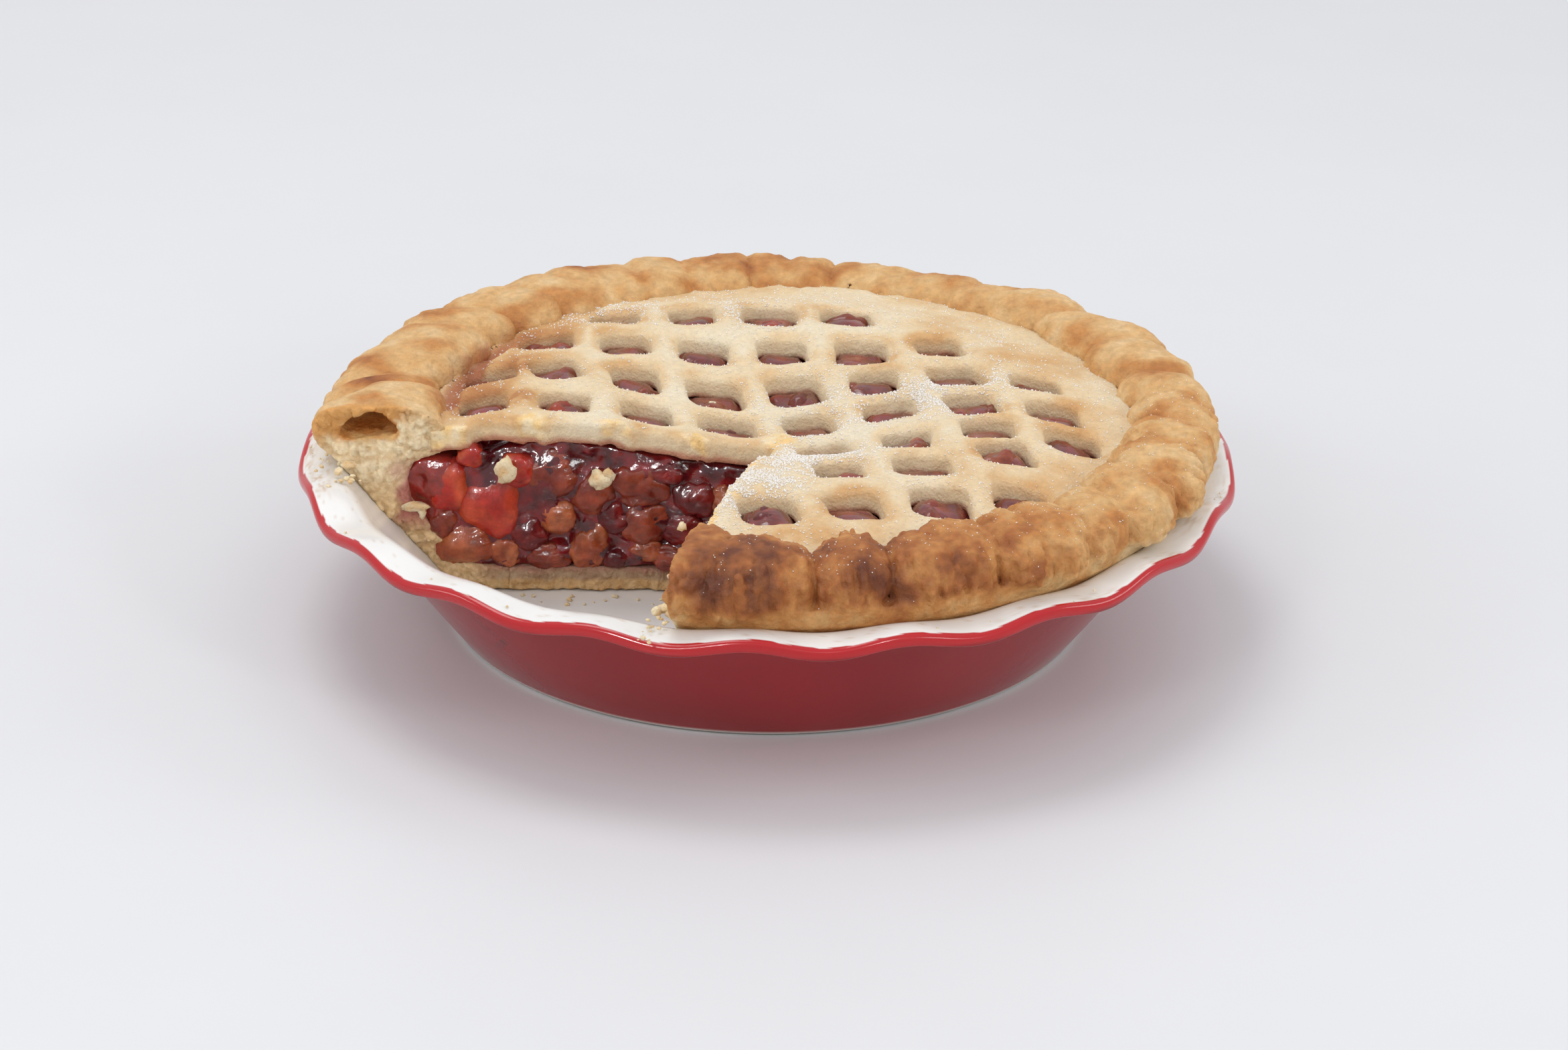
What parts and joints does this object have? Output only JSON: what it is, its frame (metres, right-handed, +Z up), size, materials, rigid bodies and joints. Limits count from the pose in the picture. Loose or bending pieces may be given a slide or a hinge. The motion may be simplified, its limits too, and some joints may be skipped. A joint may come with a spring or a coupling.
{
  "type": "prepared food",
  "caption": "Lattice-topped cherry pie with one slice missing, standing in its own fluted, glazed pie dish.",
  "frame": {"origin": "centre of the dish's foot, on the surface that it stands on", "axes": "+Z up; the missing slice opens towards -X and -Y, and -Y is the side that the pie is seen from"},
  "size_m": [0.27, 0.27, 0.0656],
  "materials": {
    "glazed_stoneware": "glossy red glaze outside, white glaze inside and on the flange",
    "baked_crust": "golden baked dough, dry, with browner patches",
    "cherry_jelly": "dark ruby fruit set in a glossy jelly",
    "pale_crust": "pale baked dough, sugared"
  },
  "bodies": {
    "root": {"pie_dish": "glazed_stoneware", "pastry_shell": "baked_crust", "cherry_filling": "cherry_jelly", "lattice_top": "pale_crust"}
  },
  "joints": []
}
